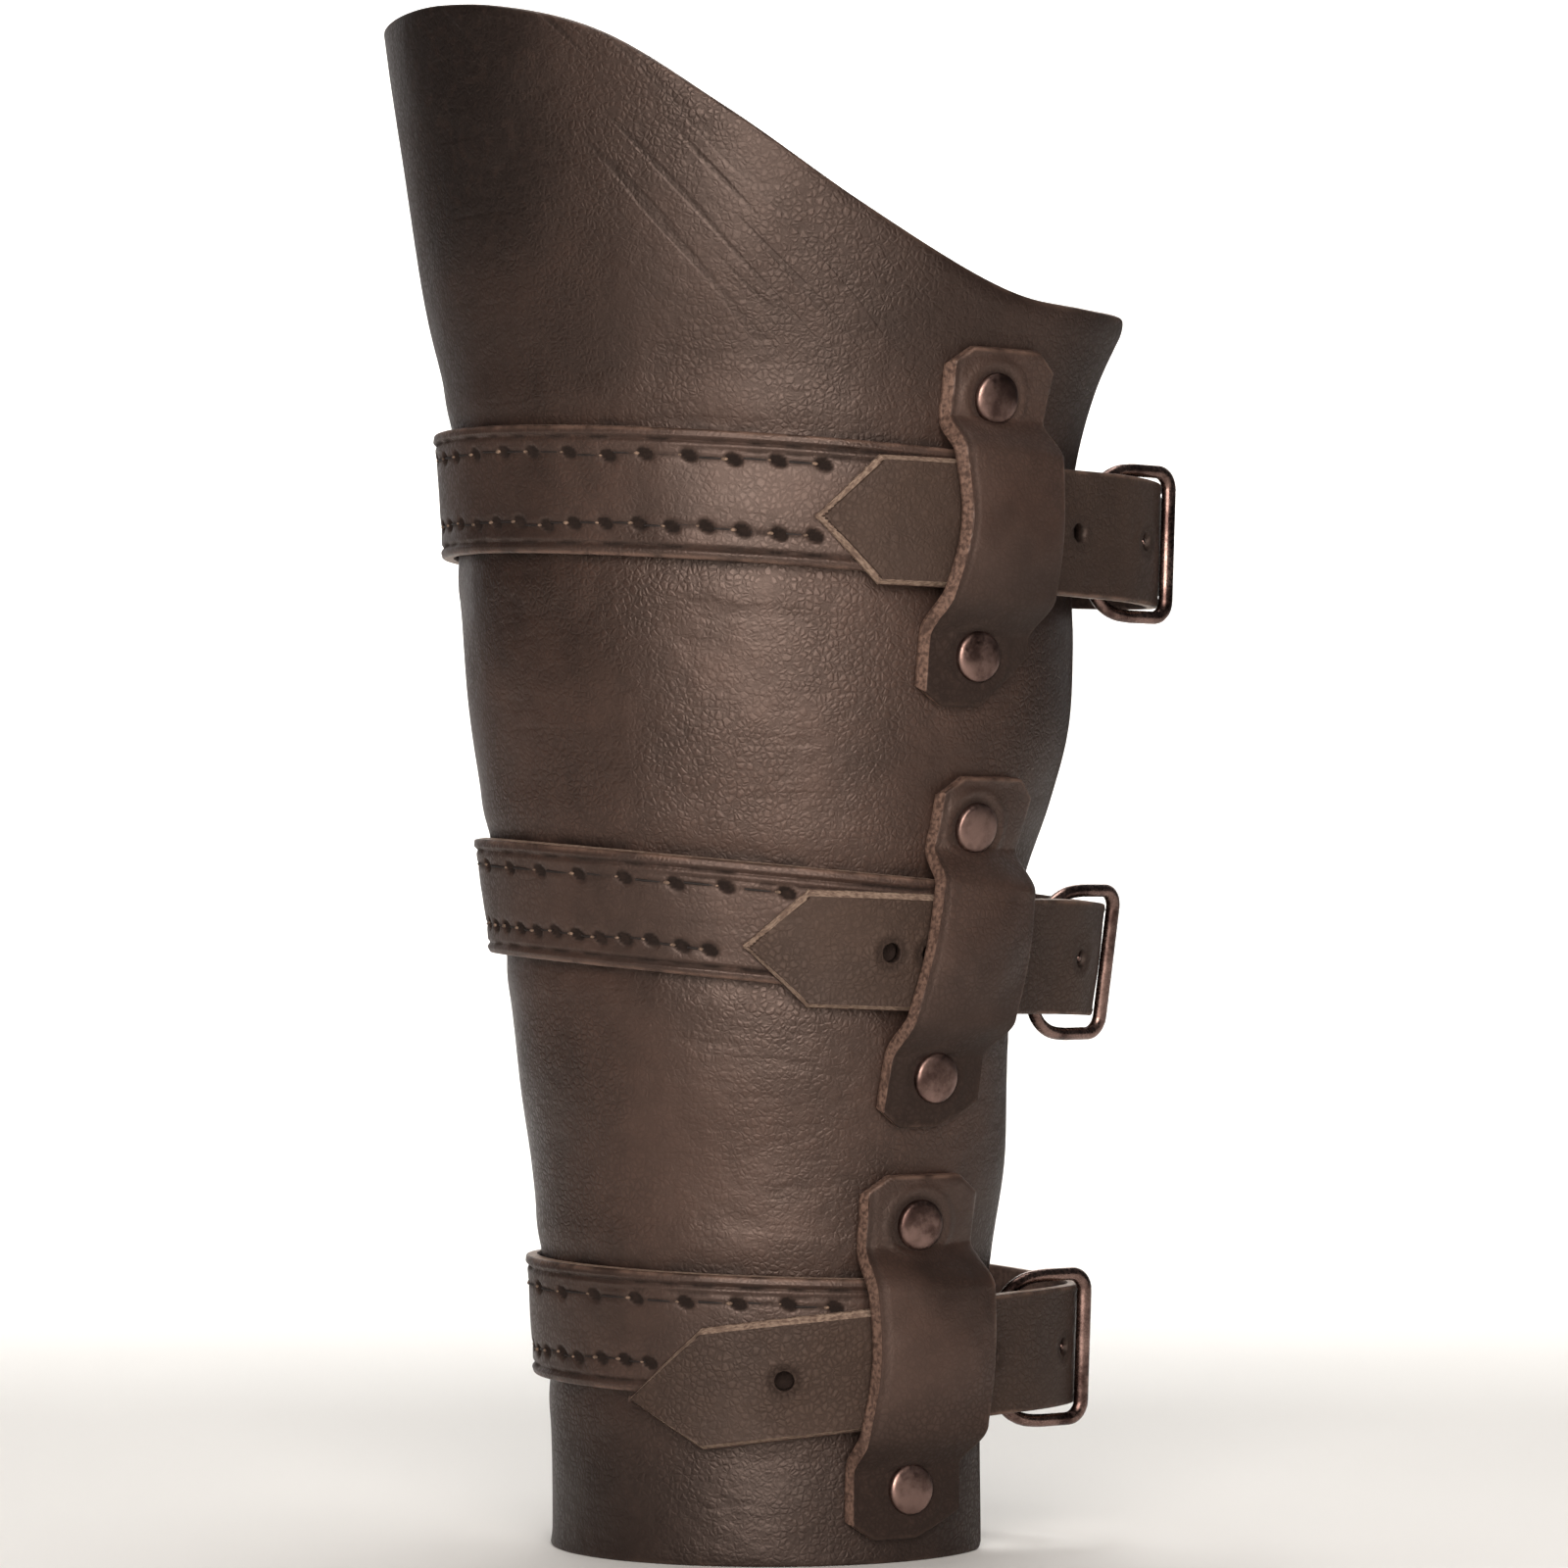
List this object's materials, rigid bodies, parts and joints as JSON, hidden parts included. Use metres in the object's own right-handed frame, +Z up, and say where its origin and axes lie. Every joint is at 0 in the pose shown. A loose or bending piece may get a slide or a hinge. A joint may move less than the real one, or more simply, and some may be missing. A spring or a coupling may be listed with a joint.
{
  "type": "leather vambrace",
  "caption": "Dark brown leather vambrace, flared at the elbow, with stitched straps buckled round it and riveted keepers over the strap ends.",
  "frame": {"origin": "middle of the wrist rim's plane, under the middle of the whole vambrace", "axes": "+Z up from wrist to elbow, +X to the right towards the buckles, +Y away from the front of the picture"},
  "size_m": [0.1531, 0.1225, 0.2924],
  "materials": {
    "wall_leather": "dyed dark brown, pebbled grain, waxed to a soft sheen",
    "strap_leather": "dyed dark brown strap leather, waxed, with burnished cut edges",
    "antique_brass": "antiqued, rubbed bright on its high places"
  },
  "bodies": {
    "root": {"shell": "wall_leather", "upper_belt": "strap_leather", "upper_keeper": "strap_leather", "upper_buckle_frame": "antique_brass", "upper_prong": "antique_brass", "upper_rivet_top": "antique_brass", "upper_rivet_low": "antique_brass", "middle_belt": "strap_leather", "middle_keeper": "strap_leather", "middle_buckle_frame": "antique_brass", "middle_prong": "antique_brass", "middle_rivet_top": "antique_brass", "middle_rivet_low": "antique_brass", "lower_belt": "strap_leather", "lower_keeper": "strap_leather", "lower_buckle_frame": "antique_brass", "lower_prong": "antique_brass", "lower_rivet_top": "antique_brass", "lower_rivet_low": "antique_brass"}
  },
  "joints": []
}
